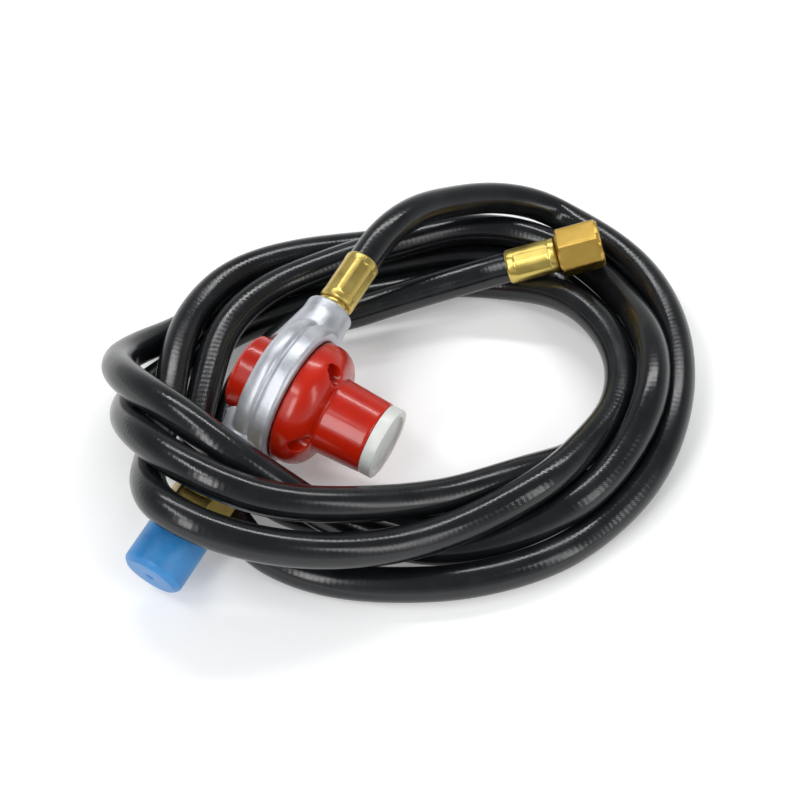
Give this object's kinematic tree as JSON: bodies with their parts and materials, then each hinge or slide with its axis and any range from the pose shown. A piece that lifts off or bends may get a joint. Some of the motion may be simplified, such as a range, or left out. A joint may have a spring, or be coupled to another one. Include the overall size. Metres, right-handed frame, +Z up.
{
  "type": "propane regulator hose",
  "caption": "Low-pressure propane regulator with a POL inlet and a long rubber hose, coiled for storage, that ends in a swivel flare nut",
  "frame": {"origin": "the middle of the POL inlet thread, on the axis of the gas way; the floor that the coil lies on is 20.1 mm lower", "axes": "+Y runs level above the gas way, from the inlet to the outlet of the regulator; +X points the way the spring tower points; +Z is up. The gas way itself climbs 11 degrees from +Y"},
  "size_m": [0.2189, 0.2565, 0.0634],
  "materials": {
    "blue_cap": "soft satin blue plastic",
    "brass": "bright turned brass",
    "rubber": "black moulded rubber",
    "zinc": "tumbled zinc casting, light grey and satin",
    "spring_steel": "plated steel",
    "red_paint": "glossy red enamel",
    "white_plastic": "satin off-white plastic",
    "hose": "semi-gloss black rubber with a fine wrapped-cloth texture"
  },
  "bodies": {
    "regulator": {"regulator_body": "zinc", "inlet_nipple": "brass", "nose_seal": "rubber", "inlet_filter": "brass", "orifice_seat": "brass", "valve_cover": "red_paint", "cover_ring": "rubber", "valve_spring": "spring_steel", "diaphragm": "rubber", "bonnet": "red_paint", "bonnet_screws": "red_paint", "vent_screen": "spring_steel", "outlet_fitting": "brass", "near_ferrule": "brass", "hose_lead": "hose", "hose_coil": "hose", "hose_tail": "hose", "far_insert": "brass", "far_ferrule": "brass"},
    "inlet_nut": {"pol_nut": "brass"},
    "cap": {"pol_cap": "blue_cap"},
    "valve": {"valve_pintle": "brass", "valve_pad": "rubber"},
    "plate": {"diaphragm_plate": "spring_steel", "control_spring": "spring_steel"},
    "button": {"spring_button": "zinc"},
    "adjuster": {"adjusting_screw": "zinc"},
    "closing_cap": {"tower_cap": "white_plastic"},
    "outlet_nut": {"flare_nut": "brass"}
  },
  "joints": [
    {"name": "pol_nut_spin", "type": "hinge", "parent": "regulator", "child": "inlet_nut", "pos_m": [0, 0, 0], "axis": [0, 0.9816, 0.1908], "continuous": true},
    {"name": "pol_cap_pull", "type": "slide", "parent": "regulator", "child": "cap", "axis": [0, -0.9816, -0.1908], "range_m": [0, 0.026]},
    {"name": "diaphragm_stroke", "type": "slide", "parent": "regulator", "child": "plate", "axis": [-0.9903, -0.0266, 0.1366], "range_m": [0, 0.0012]},
    {"name": "valve_stroke", "type": "slide", "parent": "regulator", "child": "valve", "axis": [-0.9903, -0.0266, 0.1366], "range_m": [0, 0.0012]},
    {"name": "adjuster_turn", "type": "hinge", "parent": "button", "child": "adjuster", "pos_m": [0, 0.0746, 0.0145], "axis": [-0.9903, -0.0266, 0.1366], "range_deg": [0, 576]},
    {"name": "button_rise", "type": "slide", "parent": "regulator", "child": "button", "axis": [0.9903, 0.0266, -0.1366], "range_m": [0, 0.0024]},
    {"name": "closing_cap_pull", "type": "slide", "parent": "regulator", "child": "closing_cap", "axis": [0.9903, 0.0266, -0.1366], "range_m": [0, 0.008]},
    {"name": "flare_nut_spin", "type": "hinge", "parent": "regulator", "child": "outlet_nut", "pos_m": [0.042, 0.189, 0.0025], "axis": [0.7928, 0.5348, 0.2924], "continuous": true}
  ],
  "couplings": [
    {"joint": "valve_stroke", "follows": "diaphragm_stroke", "ratio": 1},
    {"joint": "adjuster_turn", "follows": "button_rise", "rad_per_m": 4188.8}
  ]
}
